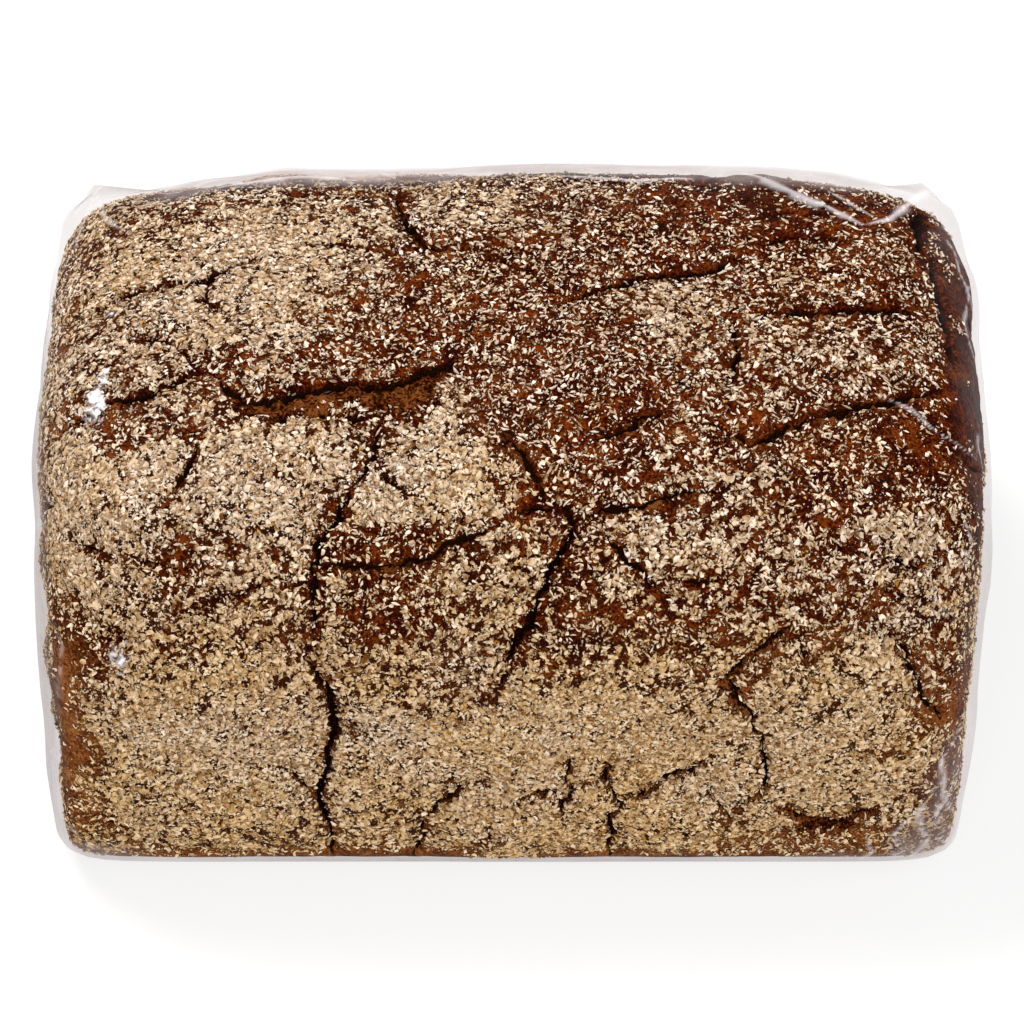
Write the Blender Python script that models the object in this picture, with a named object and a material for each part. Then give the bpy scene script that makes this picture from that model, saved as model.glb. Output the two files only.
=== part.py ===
"""Rye sourdough loaf in a clear bag: the closed outer form of the film that is drawn round the loaf.

Metres, +Z up. X runs along the loaf, the front faces -Y, and the origin is at the centre of the flat
underside. The film hugs the loaf, stands off as a pointed ear at each upper back corner, and is
gathered in pleats on both ends.
"""
import math

import bmesh
import bpy
from mathutils import Vector

# Driving dimensions, in metres
LENGTH = 0.192
WIDTH = 0.144
HEIGHT = 0.0965
WAIST = 0.037              # height of the widest line
LOW_REACH = 1.30           # depth of the lower half, in waists; the table cuts it off at one
BASE_EDGE = 0.003          # rounding where the sides meet the underside
END_TAPER = 0.036          # how much shorter the loaf is at the table than higher up

# Squareness of the rounded form: 2 is an ellipse, large is a box
TOP_SQUARENESS = 2.8       # section over the crown
LOW_SQUARENESS = 4.6       # section below the waist
END_SQUARENESS_TOP = 6.0   # shoulders of the two ends
END_SQUARENESS_LOW = 18.0  # upright corners near the table

# Film
EAR_HEIGHT = 0.0045        # how far an ear stands off the corner
EAR_SPREAD = 0.20          # its angular size, in radians
EAR_PLACES = ((-0.95, 0.60, 0.74), (0.95, 0.52, 0.78))   # in half sizes from the waist's centre
PLEAT_DEPTH = 0.0009
PLEATS_PER_END = 7
SWELL = 0.0007             # slow undulation of the film over the cracked crust

# Mesh: cells along X, Y and Z
CELLS = (34, 26, 20)

NODE = "bagged_loaf"


def smooth_step(low, high, value):
    t = min(max((value - low) / (high - low), 0.0), 1.0)
    return t * t * (3.0 - 2.0 * t)


def end_squareness(direction):
    """The ends have round shoulders at the top and nearly upright corners near the table."""
    down = smooth_step(0.2, 0.8, 0.5 - direction.z / direction.length)
    return END_SQUARENESS_TOP + (END_SQUARENESS_LOW - END_SQUARENESS_TOP) * down


def form_point(direction):
    """Where a ray from the waist's centre leaves the rounded form, before the table cuts it."""
    above = direction.z >= 0.0
    square = TOP_SQUARENESS if above else LOW_SQUARENESS
    reach = HEIGHT - WAIST if above else WAIST * LOW_REACH
    across = abs(direction.y) / (WIDTH / 2)
    upright = abs(direction.z) / reach
    ring = (across ** square + upright ** square) ** (1.0 / square)
    ends = end_squareness(direction)
    along = abs(direction.x) / (LENGTH / 2)
    size = (ring ** ends + along ** ends) ** (1.0 / ends)
    return direction / size


def ear_lift(direction):
    """How far the film's two ears stand off the form along this direction."""
    lift = 0.0
    for x, y, z in EAR_PLACES:
        corner = Vector((x * LENGTH / 2, y * WIDTH / 2, z * (HEIGHT - WAIST)))
        lift += EAR_HEIGHT * math.exp(-((direction.angle(corner) / EAR_SPREAD) ** 2))
    return lift


def pleat_lift(point):
    """Gathers on the end faces: they fan out from the middle of each end's lower edge."""
    on_end = smooth_step(0.80, 0.97, abs(point.x) / (LENGTH / 2))
    fan = math.atan2(point.y, point.z + WAIST + WAIST / 2)
    return PLEAT_DEPTH * on_end * math.cos(2.0 * PLEATS_PER_END * fan) / 2


def swell_lift(point):
    """The film follows the crust's plates as slow, shallow waves."""
    wave = math.sin(58.0 * point.x + 1.3) * math.sin(71.0 * point.y + 0.4) + math.sin(83.0 * point.z)
    return SWELL * 0.25 * wave


def table_cut(z):
    """Flattens what lies below the table, with a rounded edge."""
    if z >= BASE_EDGE:
        return z
    if z <= -BASE_EDGE:
        return 0.0
    return (z + BASE_EDGE) ** 2 / (4.0 * BASE_EDGE)


def film_point(corner):
    """Moves a point of the cube from -1 to 1 onto the film."""
    direction = Vector((corner.x * LENGTH / 2, corner.y * WIDTH / 2, corner.z * HEIGHT / 2))
    point = form_point(direction)
    outward = direction.normalized()
    side = smooth_step(-0.9, -0.2, point.z / WAIST)
    point += outward * (ear_lift(direction) + side * (pleat_lift(point) + swell_lift(point)))
    point.z = table_cut(point.z + WAIST)
    point.x *= 1.0 - END_TAPER * (1.0 - smooth_step(0.0, 2.0 * WAIST, point.z))
    return point


def divided_cube():
    """A cube from -1 to 1, cut into CELLS cells along its axes."""
    shape = bmesh.new()
    bmesh.ops.create_cube(shape, size=2.0)
    for axis, cells in enumerate(CELLS):
        edges = [e for e in shape.edges if abs(e.verts[0].co[axis] - e.verts[1].co[axis]) > 1.0]
        bmesh.ops.subdivide_edges(shape, edges=edges, cuts=cells - 1, use_grid_fill=True)
    return shape


def film_material():
    material = bpy.data.materials.new("crust_under_film")
    material.use_nodes = True
    shader = material.node_tree.nodes["Principled BSDF"]
    shader.inputs["Base Color"].default_value = (0.33, 0.21, 0.12, 1.0)
    shader.inputs["Roughness"].default_value = 0.45
    shader.inputs["Metallic"].default_value = 0.0
    return material


def build_bagged_loaf(collection):
    shape = divided_cube()
    for vertex in shape.verts:
        vertex.co = film_point(vertex.co)
    bmesh.ops.recalc_face_normals(shape, faces=shape.faces)
    mesh = bpy.data.meshes.new(NODE)
    shape.to_mesh(mesh)
    shape.free()
    mesh.shade_smooth()
    mesh.materials.append(film_material())
    loaf = bpy.data.objects.new(NODE, mesh)
    collection.objects.link(loaf)
    return loaf


def main():
    for old in list(bpy.data.objects):
        bpy.data.objects.remove(old)
    collection = bpy.data.collections.new("rye_sourdough_loaf")
    bpy.context.scene.collection.children.link(collection)
    build_bagged_loaf(collection)


main()
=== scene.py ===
"""Looks of the bagged rye sourdough loaf: cracked crust, loose meal and bran, and the clear film.

Lengths are in millimetres in the builders and become metres when a mesh is made. +X runs along
the loaf, the front faces -Y, +Z is up, and the loaf rests on z = 0. Places on the loaf are given
on a chart: x along the loaf, and g, the distance round its middle section, which starts at the
table in front, passes over the crown near 145 and comes down to the table at the back near 290.
"""
import math
from collections import namedtuple

import bmesh
import bpy
import numpy as np
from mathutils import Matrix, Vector


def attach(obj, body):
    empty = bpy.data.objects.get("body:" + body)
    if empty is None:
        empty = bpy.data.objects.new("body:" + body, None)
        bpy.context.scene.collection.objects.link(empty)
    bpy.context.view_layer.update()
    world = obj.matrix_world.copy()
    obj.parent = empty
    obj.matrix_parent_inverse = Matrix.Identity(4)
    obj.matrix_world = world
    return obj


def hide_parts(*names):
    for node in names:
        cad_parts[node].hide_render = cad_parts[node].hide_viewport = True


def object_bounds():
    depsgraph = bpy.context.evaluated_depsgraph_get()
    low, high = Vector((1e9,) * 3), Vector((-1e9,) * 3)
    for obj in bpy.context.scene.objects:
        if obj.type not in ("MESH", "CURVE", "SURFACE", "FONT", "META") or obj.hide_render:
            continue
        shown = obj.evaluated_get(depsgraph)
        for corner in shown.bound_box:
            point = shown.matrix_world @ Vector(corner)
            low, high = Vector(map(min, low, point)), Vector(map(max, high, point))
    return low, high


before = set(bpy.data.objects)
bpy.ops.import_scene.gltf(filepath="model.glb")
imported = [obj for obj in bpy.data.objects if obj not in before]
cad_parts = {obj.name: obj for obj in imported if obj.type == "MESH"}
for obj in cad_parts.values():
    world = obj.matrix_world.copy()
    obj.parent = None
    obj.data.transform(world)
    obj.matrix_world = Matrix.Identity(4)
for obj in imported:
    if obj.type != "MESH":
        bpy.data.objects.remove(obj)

CAD_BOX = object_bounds()
CAD_NODE = "bagged_loaf"
MM = 0.001
SEED = 20

# ------------ form

Form = namedtuple("Form", "half_length half_width crown low_reach floor")
WAIST = 37.0  # height of the widest line
FILM = Form(96.0, 72.0, 59.5, 48.1, 0.0)
LOAF = Form(95.2, 71.1, 58.8, 48.0, 0.35)
CUBE_HALF = np.array((96.0, 72.0, 48.25))
TOP_SQUARENESS = 2.8
LOW_SQUARENESS = 4.6
END_SQUARENESS = (6.0, 18.0)  # at the shoulders, and near the table
END_TAPER = 0.036
BASE_EDGE = 3.0


def smooth_step(low, high, value):
    t = np.clip((value - low) / (high - low), 0.0, 1.0)
    return t * t * (3.0 - 2.0 * t)


def unit(vectors):
    return vectors / np.maximum(np.linalg.norm(vectors, axis=-1, keepdims=True), 1e-9)


def end_squareness(direction):
    down = smooth_step(0.2, 0.8, 0.5 - direction[:, 2] / np.linalg.norm(direction, axis=1))
    return END_SQUARENESS[0] + (END_SQUARENESS[1] - END_SQUARENESS[0]) * down


def rest_on_table(points, form):
    """Flattens what lies below the table, with a rounded edge, and shortens the low part of the ends."""
    z = points[:, 2] + WAIST
    edge = (z + BASE_EDGE) ** 2 / (4.0 * BASE_EDGE)
    z = np.where(z >= BASE_EDGE, z, np.where(z <= -BASE_EDGE, 0.0, edge))
    taper = 1.0 - END_TAPER * (1.0 - smooth_step(0.0, 2.0 * WAIST, z))
    return np.stack([points[:, 0] * taper, points[:, 1], z + form.floor], axis=1)


def ring_size(direction, form):
    above = direction[:, 2] >= 0.0
    square = np.where(above, TOP_SQUARENESS, LOW_SQUARENESS)
    reach = np.where(above, form.crown, form.low_reach)
    across = np.abs(direction[:, 1]) / form.half_width
    upright = np.abs(direction[:, 2]) / reach
    return (across ** square + upright ** square) ** (1.0 / square)


def form_points(cube, form):
    """Moves points of the cube from -1 to 1 onto the form."""
    direction = np.asarray(cube, float) * CUBE_HALF
    ends = end_squareness(direction)
    along = np.abs(direction[:, 0]) / form.half_length
    size = (ring_size(direction, form) ** ends + along ** ends) ** (1.0 / ends)
    return rest_on_table(direction / size[:, None], form)


def middle_section(form):
    """The section at x = 0 as girth, y and height over the waist, from the front over the crown."""
    angle = np.linspace(-2.5, 2.5, 4001)
    direction = np.stack([0.0 * angle, np.sin(angle), np.cos(angle)], axis=1)
    line = direction / ring_size(direction, form)[:, None]
    line = line[line[:, 2] >= -WAIST]
    steps = np.linalg.norm(np.diff(line, axis=0), axis=1)
    return np.r_[0.0, np.cumsum(steps)], line[:, 1], line[:, 2]


SECTIONS = {form: middle_section(form) for form in (FILM, LOAF)}


def over(form, x, g):
    """Points of the form at chart places."""
    x, g = np.broadcast_arrays(np.asarray(x, float), np.asarray(g, float))
    girth, section_y, section_z = SECTIONS[form]
    flat = np.stack([x, np.interp(g, girth, section_y), np.interp(g, girth, section_z)], axis=-1)
    flat = flat.reshape(-1, 3)
    ends = end_squareness(flat)
    along = np.clip(np.abs(flat[:, 0]) / form.half_length, 0.0, 1.0)
    shrink = (1.0 - along ** ends) ** (1.0 / ends)
    flat = flat * np.stack([np.ones_like(shrink), shrink, shrink], axis=1)
    return rest_on_table(flat, form)


def on_end(form, side, y, z):
    """Points of an end face: side is -1 or 1, z is the height."""
    y, z = np.broadcast_arrays(np.asarray(y, float), np.asarray(z, float))
    direction = np.stack([np.full(y.shape, side * form.half_length), y, z - WAIST], axis=-1)
    return form_points(direction.reshape(-1, 3) / CUBE_HALF, form)


def noise(points, size, seed=0):
    """Smooth noise from -1 to 1, its bumps about `size` across."""
    q = points / size + 11.7 * seed
    cell = np.floor(q).astype(np.int64)
    t = q - cell
    t = t * t * (3.0 - 2.0 * t)
    total = np.zeros(len(q))
    for corner in range(8):
        step = np.array([corner & 1, corner >> 1 & 1, corner >> 2 & 1])
        n = (cell + step) * np.array([73856093, 19349663, 83492791])
        n = (n[:, 0] ^ n[:, 1] ^ n[:, 2]) & 0xFFFFFF
        n = (n * (n * 15731 % 789221 + 1376312589)) & 0x7FFFFFFF
        n = (n ^ (n >> 11)) % 65536
        total += (n / 32767.5 - 1.0) * np.prod(np.where(step, t, 1.0 - t), axis=1)
    return total


def ripple(s, size, seed):
    """Noise along a line."""
    return noise(np.stack([s, 0.37 * s, 0.0 * s + 3.1 * seed], axis=1), size, seed)


# ------------ cracks

Crack = namedtuple("Crack", "half_width depth points slope end", defaults=(0.0, 0))
Line = namedtuple("Line", "centre uphill half_width depth slope")
CRACK_STEP = 0.3
CRACK_REACH = 12.0
CRUMBLE = 0.42  # how far the walls of a crack crumble in and out
CRACK_WANDER = ((4.5, 0.7), (1.9, 0.6), (0.9, 0.34))  # size of the bends and how far they go
FOLD_WANDER = ((14.0, 1.0), (6.0, 0.4))


def cracks(*rows):
    return [Crack(*row) for row in rows]


# A row is half width, depth and places (x, g) on the chart, then the slope of a tear: how far its
# near wall runs out in front of it
FRONT_CRACKS = cracks(
    # the long upright crack of the left third, with its side arms
    (0.55, 2.6, ((-30, 98), (-32, 93), (-35.5, 86), (-38.5, 78.5), (-37.5, 67), (-40, 61))),
    (0.75, 4.0, ((-40, 61), (-38, 56), (-35.5, 52), (-35, 46), (-34.5, 42), (-36.5, 37),
     (-37, 31), (-39, 23), (-38.5, 17.5), (-37, 11), (-37, 1))),
    (0.4, 2.0, ((-34.5, 42), (-31, 41))),
    (0.45, 2.4, ((-39.5, 22), (-42, 27), (-46, 32))),
    (0.6, 2.6, ((-25, 111), (-25.5, 105.5), (-28, 100), (-32, 92))),
    (0.35, 1.4, ((-26, 101), (-24, 97), (-20, 94))),
    # upper left
    (0.5, 2.6, ((-84, 146), (-79, 149.5), (-70, 151), (-61, 152), (-58, 154), (-52, 157))),
    (0.4, 2.0, ((-60, 152), (-60.5, 147), (-62, 144), (-60, 144), (-56, 141))),
    (0.35, 1.6, ((-42, 162), (-35, 162.5), (-27, 160), (-20, 161.5))),
    (0.45, 2.2, ((-74, 135), (-67, 133), (-64, 129), (-61, 124))),
    # the wide open tear and its arms
    (0.45, 2.6, ((-61, 124), (-57, 120.5), (-54, 117), (-50, 115)), 1.2),
    (0.6, 3.6, ((-54, 114.5), (-46, 117), (-39, 119), (-31, 120), (-24, 121), (-17, 123.5),
     (-10, 127)), 6.8),
    (0.5, 2.6, ((-91, 110), (-86, 113), (-80, 117), (-70, 119.5), (-61, 123.5)), 1.6),
    (0.35, 1.6, ((-53, 113.5), (-46, 111.5), (-38, 112), (-30, 111), (-24, 112))),
    (0.4, 2.0, ((-61, 108), (-61.5, 103), (-64, 98), (-66, 93)), 1.2),
    # crown
    (0.6, 2.6, ((-25, 186), (-22, 177), (-20, 170), (-18, 164), (-14, 161.5), (-8, 160)), 2.2),
    (0.4, 1.8, ((-8, 160), (0, 156), (5, 152), (9, 146.5), (12, 144))),
    (0.4, 2.4, ((12, 143.5), (18, 147), (24, 150), (31, 153.5), (38, 154), (44, 157),
     (49, 160)), 1.2),
    (0.4, 1.8, ((50, 161), (57, 166), (64, 167), (70, 166))),
    (0.4, 1.8, ((50, 172), (57, 176), (64, 175))),
    (0.3, 1.4, ((2, 178), (6, 174), (11, 177))),
    (0.42, 2.4, ((49, 139.5), (56, 141), (65, 141.5), (71, 143.5), (78, 145), (85, 148)), 1.4),
    (0.55, 2.4, ((45.5, 140), (45, 132), (46, 126), (45, 119))),
    (0.35, 1.6, ((36, 134), (41, 136), (46, 134.5))),
    (0.35, 1.4, ((56, 128), (59, 122), (57, 118))),
    # right shoulder
    (0.35, 2.2, ((37, 112), (42, 109), (47, 105), (51, 107), (56, 110), (63, 112.5),
     (71, 116), (78, 118), (86, 122)), 1.2),
    (0.5, 2.0, ((18, 106.5), (22, 107.5), (26, 111), (32, 113)), 1.5),
    (1.3, 3.4, ((86, 197), (84.5, 185), (84.5, 173), (87, 162), (88, 151), (89, 142), (89.5, 131))),
    (0.45, 2.0, ((70, 86), (74, 82), (79, 78), (84, 76.5))),
    (0.3, 1.4, ((61, 86.5), (65, 84), (70, 82.5))),
    (0.35, 1.6, ((31, 77), (37, 76), (42, 76.5))),
    (0.3, 1.2, ((35.5, 66.5), (38.5, 63), (40, 60))),
    # the forked crack of the middle
    (0.5, 2.2, ((-2, 108), (3, 103), (5.5, 97), (8, 92.5)), 0.9),
    (0.4, 1.8, ((0, 90), (5, 91.5), (11, 91.5))),
    (0.7, 3.6, ((11, 92), (13, 89), (10.5, 83.5), (8.5, 79), (7, 75), (4.5, 70), (2, 64.5),
     (0, 58.5), (-1.5, 52.5), (-3, 49))),
    (0.4, 1.8, ((13, 89), (19, 91), (26, 91.8), (33, 95), (41, 95.5)), 0.9),
    (0.35, 1.4, ((17, 87), (22, 83), (26, 78), (30, 74))),
    (0.4, 1.6, ((-39, 80), (-31, 79.5), (-23, 80), (-16, 81.5), (-10, 85), (-2, 88)), 0.8),
    (0.3, 1.2, ((-8, 55), (-5, 52), (-3.5, 49.5))),
    # left flank
    (0.3, 1.6, ((-90, 86), (-88, 84), (-82, 83), (-77, 80.5))),
    (0.22, 1.0, ((-76, 82), (-70, 79.5), (-61, 79))),
    (0.25, 1.1, ((-62, 71), (-54, 74), (-46, 77), (-38, 77))),
    (0.4, 2.0, ((-85, 17.5), (-81.5, 14), (-78, 11))),
    (0.4, 1.6, ((-79, 9), (-72, 6.5), (-64, 6), (-54, 5))),
    # along the foot
    (0.5, 2.6, ((12, 34), (12.2, 28), (13, 25.5), (11.8, 21.5), (11, 15))),
    (0.6, 3.0, ((20, 33), (20.5, 26.5), (23, 22), (21, 16), (21.5, 9), (21.5, 1))),
    (0.75, 3.2, ((22, 21.5), (27, 24), (31, 27), (36.5, 30.5), (42, 35))),
    (0.35, 1.6, ((13, 26), (17, 27.5), (21, 27))),
    (0.55, 2.8, ((55, 67), (51, 63), (46, 60), (43.5, 55.5), (46, 50.5), (49, 45), (51, 40)), 1.5),
    (0.6, 3.0, ((51, 40), (52.5, 34), (52.5, 27), (49.5, 22.5), (48, 19))),
    (0.45, 2.2, ((41, 25), (43, 21), (46.5, 16), (51, 12.5), (56, 11))),
    (0.5, 2.0, ((56, 20), (62, 17), (68, 15), (72, 18), (77, 20)), 2.5),
    (0.5, 2.4, ((75, 65), (78.5, 60.5), (80.5, 55), (83, 49.5), (86, 45), (88.5, 41))),
    (0.55, 2.8, ((-23, 21.5), (-20.5, 18), (-18, 15.5), (-18, 10), (-19.5, 1))),
    (0.45, 2.2, ((-18, 15.5), (-13.5, 21), (-10, 26), (-5, 27))),
    (0.3, 1.2, ((-3, 20), (2, 21.5), (7, 24.5), (12, 25.5))),
)

# The side that doesn't show is cracked in the same way
BACK_CRACKS = cracks(
    (0.6, 3.0, ((-70, 188), (-66, 202), (-60, 212), (-62, 226), (-57, 240))),
    (0.8, 4.0, ((-57, 240), (-58, 254), (-52, 268), (-54, 280), (-53, 289))),
    (0.5, 2.4, ((-92, 226), (-78, 221), (-62, 226))),
    (0.5, 2.6, ((-20, 190), (-9, 198), (1, 209), (-2, 222), (7, 234))),
    (0.7, 3.6, ((7, 234), (5, 250), (13, 262), (11, 276), (14, 289))),
    (0.5, 2.4, ((-57, 240), (-42, 236), (-27, 243), (-10, 238), (7, 235)), 2.0),
    (0.6, 3.0, ((40, 188), (46, 203), (40, 215), (48, 229), (61, 236), (76, 232), (90, 239))),
    (0.6, 3.0, ((48, 229), (44, 245), (50, 259), (46, 272), (50, 289))),
    (0.5, 2.4, ((13, 262), (26, 268), (34, 262), (47, 267))),
    (0.5, 2.2, ((-34, 289), (-32, 277), (-26, 267), (-31, 257))),
    (0.7, 3.0, ((58, 205), (68, 201), (78, 205), (87, 203)), 4.0),
    (0.4, 1.8, ((-50, 196), (-40, 201), (-30, 198), (-20, 203))),
    (0.4, 2.0, ((72, 289), (70, 276), (76, 266), (73, 256))),
    (0.4, 2.0, ((-84, 256), (-76, 262), (-70, 272))),
)

# Here places are (y, height) on an end face, and the last number says which: -1 left, 1 right
END_CRACKS = cracks(
    (0.6, 2.8, ((-44, 78), (-34, 66), (-36, 52), (-27, 38), (-30, 22)), 0.0, -1),
    (0.5, 2.4, ((24, 86), (17, 70), (25, 55), (20, 40), (27, 24)), 0.0, -1),
    (0.45, 2.0, ((-34, 66), (-18, 68), (-4, 62), (17, 68)), 0.0, -1),
    (0.4, 1.8, ((-2, 60), (-6, 46), (1, 32)), 0.0, -1),
    (0.6, 2.8, ((-36, 82), (-26, 70), (-31, 54), (-22, 42), (-24, 24)), 0.0, 1),
    (0.5, 2.4, ((10, 86), (14, 72), (6, 58), (13, 44), (9, 28)), 0.0, 1),
    (0.45, 2.0, ((13, 66), (28, 70), (42, 62), (54, 66)), 0.0, 1),
    (0.4, 1.8, ((-22, 42), (-8, 46), (11, 42)), 0.0, 1),
)
FINE_CRACKS = 210  # short hairline cracks, scattered
FINE_CRACK_LENGTH = (5.0, 13.0)
FINE_CRACK_HALF_WIDTH = (0.22, 0.34)
FINE_CRACK_DEPTH = (0.8, 1.5)


def fine_cracks(rng):
    """Short hairline cracks with a bend or two, anywhere on the front, crown and back."""
    scattered = []
    for _ in range(FINE_CRACKS):
        x, g = rng.uniform(-88, 88), rng.uniform(6, 284)
        heading = rng.uniform(0.0, 2.0 * math.pi)
        step = rng.uniform(*FINE_CRACK_LENGTH) / 3.0
        points = [(x, g)]
        for _ in range(3):
            heading += rng.normal(0.0, 0.7)
            x += step * math.cos(heading)
            g += step * math.sin(heading)
            points.append((min(max(x, -91.0), 91.0), g))
        half_width, depth = rng.uniform(*FINE_CRACK_HALF_WIDTH), rng.uniform(*FINE_CRACK_DEPTH)
        scattered.append(Crack(half_width, depth, points))
    return scattered


def crack_line(form, crack, seed, wander=CRACK_WANDER):
    """Samples along a crack that wanders as a tear in dough does, or along a fold of the film."""
    corners = np.array(crack.points, float)
    lengths = np.r_[0.0, np.cumsum(np.linalg.norm(np.diff(corners, axis=0), axis=1))]
    s = np.arange(0.0, lengths[-1] + CRACK_STEP, CRACK_STEP)
    a = np.interp(s, lengths, corners[:, 0])
    b = np.interp(s, lengths, corners[:, 1])
    for size, sway in wander:
        a = a + sway * ripple(s, size, 2 * seed)
        b = b + sway * ripple(s, size, 2 * seed + 1)
    if crack.end:
        centre, above = on_end(form, crack.end, a, b), on_end(form, crack.end, a, b + 1.0)
    else:
        centre, above = over(form, a, b), over(form, a, b + 1.0)
    taper = 0.3 + 0.7 * smooth_step(0.0, 8.0, np.minimum(s, lengths[-1] - s))
    width = taper * (0.95 + 0.6 * ripple(s, 5.0, seed + 50) + 0.5 * ripple(s, 1.5, seed + 90))
    depth = crack.depth * (0.6 if crack.slope else 0.85)
    return Line(centre, unit(above - centre), crack.half_width * np.maximum(width, 0.15),
                depth * taper, crack.slope * np.maximum(taper * 1.3 - 0.3, 0.0))


def near_line(points, line):
    """The points near a line: their indices, themselves, the nearest samples and the way from those."""
    low = line.centre.min(axis=0) - CRACK_REACH
    high = line.centre.max(axis=0) + CRACK_REACH
    near = np.flatnonzero(((points > low) & (points < high)).all(axis=1))
    p = points[near]
    square = (p ** 2).sum(axis=1)[:, None] + (line.centre ** 2).sum(axis=1) - 2.0 * p @ line.centre.T
    j = square.argmin(axis=1)
    return near, p, j, p - line.centre[j]


def crack_fields(points, lines):
    """At each point: how deep it sinks, whether it is in a crack or on a torn wall, and the distance."""
    sink = np.zeros(len(points))
    inside = np.zeros(len(points))
    torn = np.zeros(len(points))
    distance = np.full(len(points), CRACK_REACH)
    for line in lines:
        near, p, j, away = near_line(points, line)
        d = np.linalg.norm(away, axis=1)
        crumble = CRUMBLE * (1.0 + 0.15 * line.slope[j]) * (noise(p, 1.5, 6) + 0.6 * noise(p, 0.8, 7))
        d = np.maximum(d + crumble * smooth_step(0.1, 0.6, d), 0.0)
        downhill = (away * line.uphill[j]).sum(axis=1) < 0.0
        wall = np.where(downhill, line.slope[j], 0.0)
        half = line.half_width[j]
        core = 1.0 - smooth_step(0.45, 1.2, d / half)
        wall = wall * (1.0 + 0.4 * noise(p, 6.0, 10) + 0.5 * noise(p, 2.2, 5) + 0.25 * noise(p, 1.1, 11))
        shelf = np.where(wall > 0.1, np.clip(1.0 - (d - half) / np.maximum(wall, 0.1), 0.0, 1.0), 0.0)
        deep = line.depth[j] * np.maximum(core, 0.6 * shelf)
        sink[near] = np.maximum(sink[near], deep)
        inside[near] = np.maximum(inside[near], 1.0 - smooth_step(0.7, 1.3, d / half))
        torn[near] = np.maximum(torn[near], smooth_step(0.0, 0.12, shelf))
        distance[near] = np.minimum(distance[near], np.maximum(d - half, 0.0))
    return sink, inside, torn, distance


# ------------ meal cover

EVEN_COVER = 0.62
LEAST_COVER = 0.33  # in the bare zones, before the clean ones
# Thin places in the meal: (x, g), half sizes along x and g, and how much of the cover is gone
BARE_ZONES = (
    (-3, 138, 26, 22, 0.5), (-10, 163, 9, 5, 0.6), (-26, 130, 14, 6, 0.4),
    (12, 118, 22, 18, 0.45), (14, 104, 16, 9, 0.25), (32, 158, 22, 8, 0.45),
    (44, 174, 34, 15, 0.55), (26, 186, 26, 5, 0.35), (66, 163, 20, 10, 0.35), (66, 109, 24, 8, 0.45),
    (68, 143, 20, 4, 0.4), (50, 142, 8, 6, 0.3), (-33, 116.5, 15, 4, 0.9), (-57, 126, 7, 5, 0.45),
    (-24, 84, 14, 7, 0.3), (-22, 71, 16, 6, 0.15), (12, 80, 5, 14, 0.25), (15, 64, 6, 9, 0.15),
    (47, 54, 4, 6, 0.45), (80, 128, 12, 14, 0.1), (-92, 168, 6, 26, 0.25),
    (62, 96, 30, 12, 0.12), (4, 96, 8, 6, 0.15), (70, 74, 16, 8, 0.12), (84, 46, 8, 9, 0.2),
    (-80, 62, 7, 8, 0.15), (30, 70, 22, 10, 0.12), (-66, 84, 16, 6, 0.12),
    (-72, 110, 12, 7, 0.3), (-50, 177, 56, 8, 0.14),
    (76, 152, 18, 16, 0.16), (86, 110, 9, 16, 0.35), (60, 140, 42, 50, 0.1),
    (62, 179, 30, 16, 0.32), (-30, 184, 50, 6, 0.08),
    (-40, 250, 20, 16, 0.45), (30, 240, 20, 14, 0.45), (70, 262, 14, 14, 0.45), (0, 208, 26, 10, 0.4),
)
# Places with hardly any meal, and how much of it is gone
CLEAN_ZONES = (
    (-90.5, 41, 7.0, 30, 0.92), (93.2, 150, 7.0, 62, 0.85), (91, 42, 7, 16, 0.7),
    (-50, 197, 52, 9, 0.95), (30, 200, 70, 8, 0.85), (74, 8, 24, 6, 0.6), (0, 0, 110, 4, 0.7),
    (94, 188, 9, 32, 0.9), (50, 195, 42, 8, 0.5), (54, 177, 38, 14, 0.6), (84, 112, 9, 15, 0.45),
    (66, 108, 26, 8, 0.3), (72, 100, 20, 10, 0.2), (2, 128, 20, 16, 0.2), (70, 144, 20, 6, 0.35),
    (70, 158, 20, 6, 0.2), (36, 154, 16, 5, 0.3), (-86, 60, 8, 11, 0.45), (91.5, 20, 6, 18, 0.6),
)
# Thick places, where the meal is a closed crust
THICK_ZONES = (
    (-56, 158, 28, 20, 0.2), (-50, 97, 26, 14, 0.21), (-15, 101, 14, 9, 0.22), (-50, 40, 34, 26, 0.12),
    (18, 34, 38, 26, 0.2), (64, 40, 20, 20, 0.12), (36, 137, 12, 12, 0.1), (66, 128, 16, 9, 0.1),
    (-8, 178, 14, 8, 0.15), (-82, 84, 17, 22, 0.24), (46, 97, 14, 7, 0.16), (-90, 90, 7, 24, 0.15),
    (82, 85, 11, 11, 0.15), (-60, 225, 26, 20, 0.2), (50, 215, 20, 16, 0.15),
)


def zone_weight(form, points, zone):
    """The strength of a zone of the chart at points: full in its middle, 0 outside."""
    x, g, half_x, half_g, strength = zone
    centre = over(form, x, g)[0]
    uphill = unit(over(form, x, g + 2.0)[0] - centre)
    away = points - centre
    v = away @ uphill
    rest = away - np.outer(v, uphill)
    across = np.linalg.norm(rest[:, 1:], axis=1)
    r = np.sqrt((rest[:, 0] / half_x) ** 2 + (v / half_g) ** 2 + (across / (0.7 * half_g + 8.0)) ** 2)
    return strength * (1.0 - smooth_step(0.4, 1.35, r))


def strongest(form, points, zones):
    return np.max([zone_weight(form, points, zone) for zone in zones], axis=0)


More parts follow.
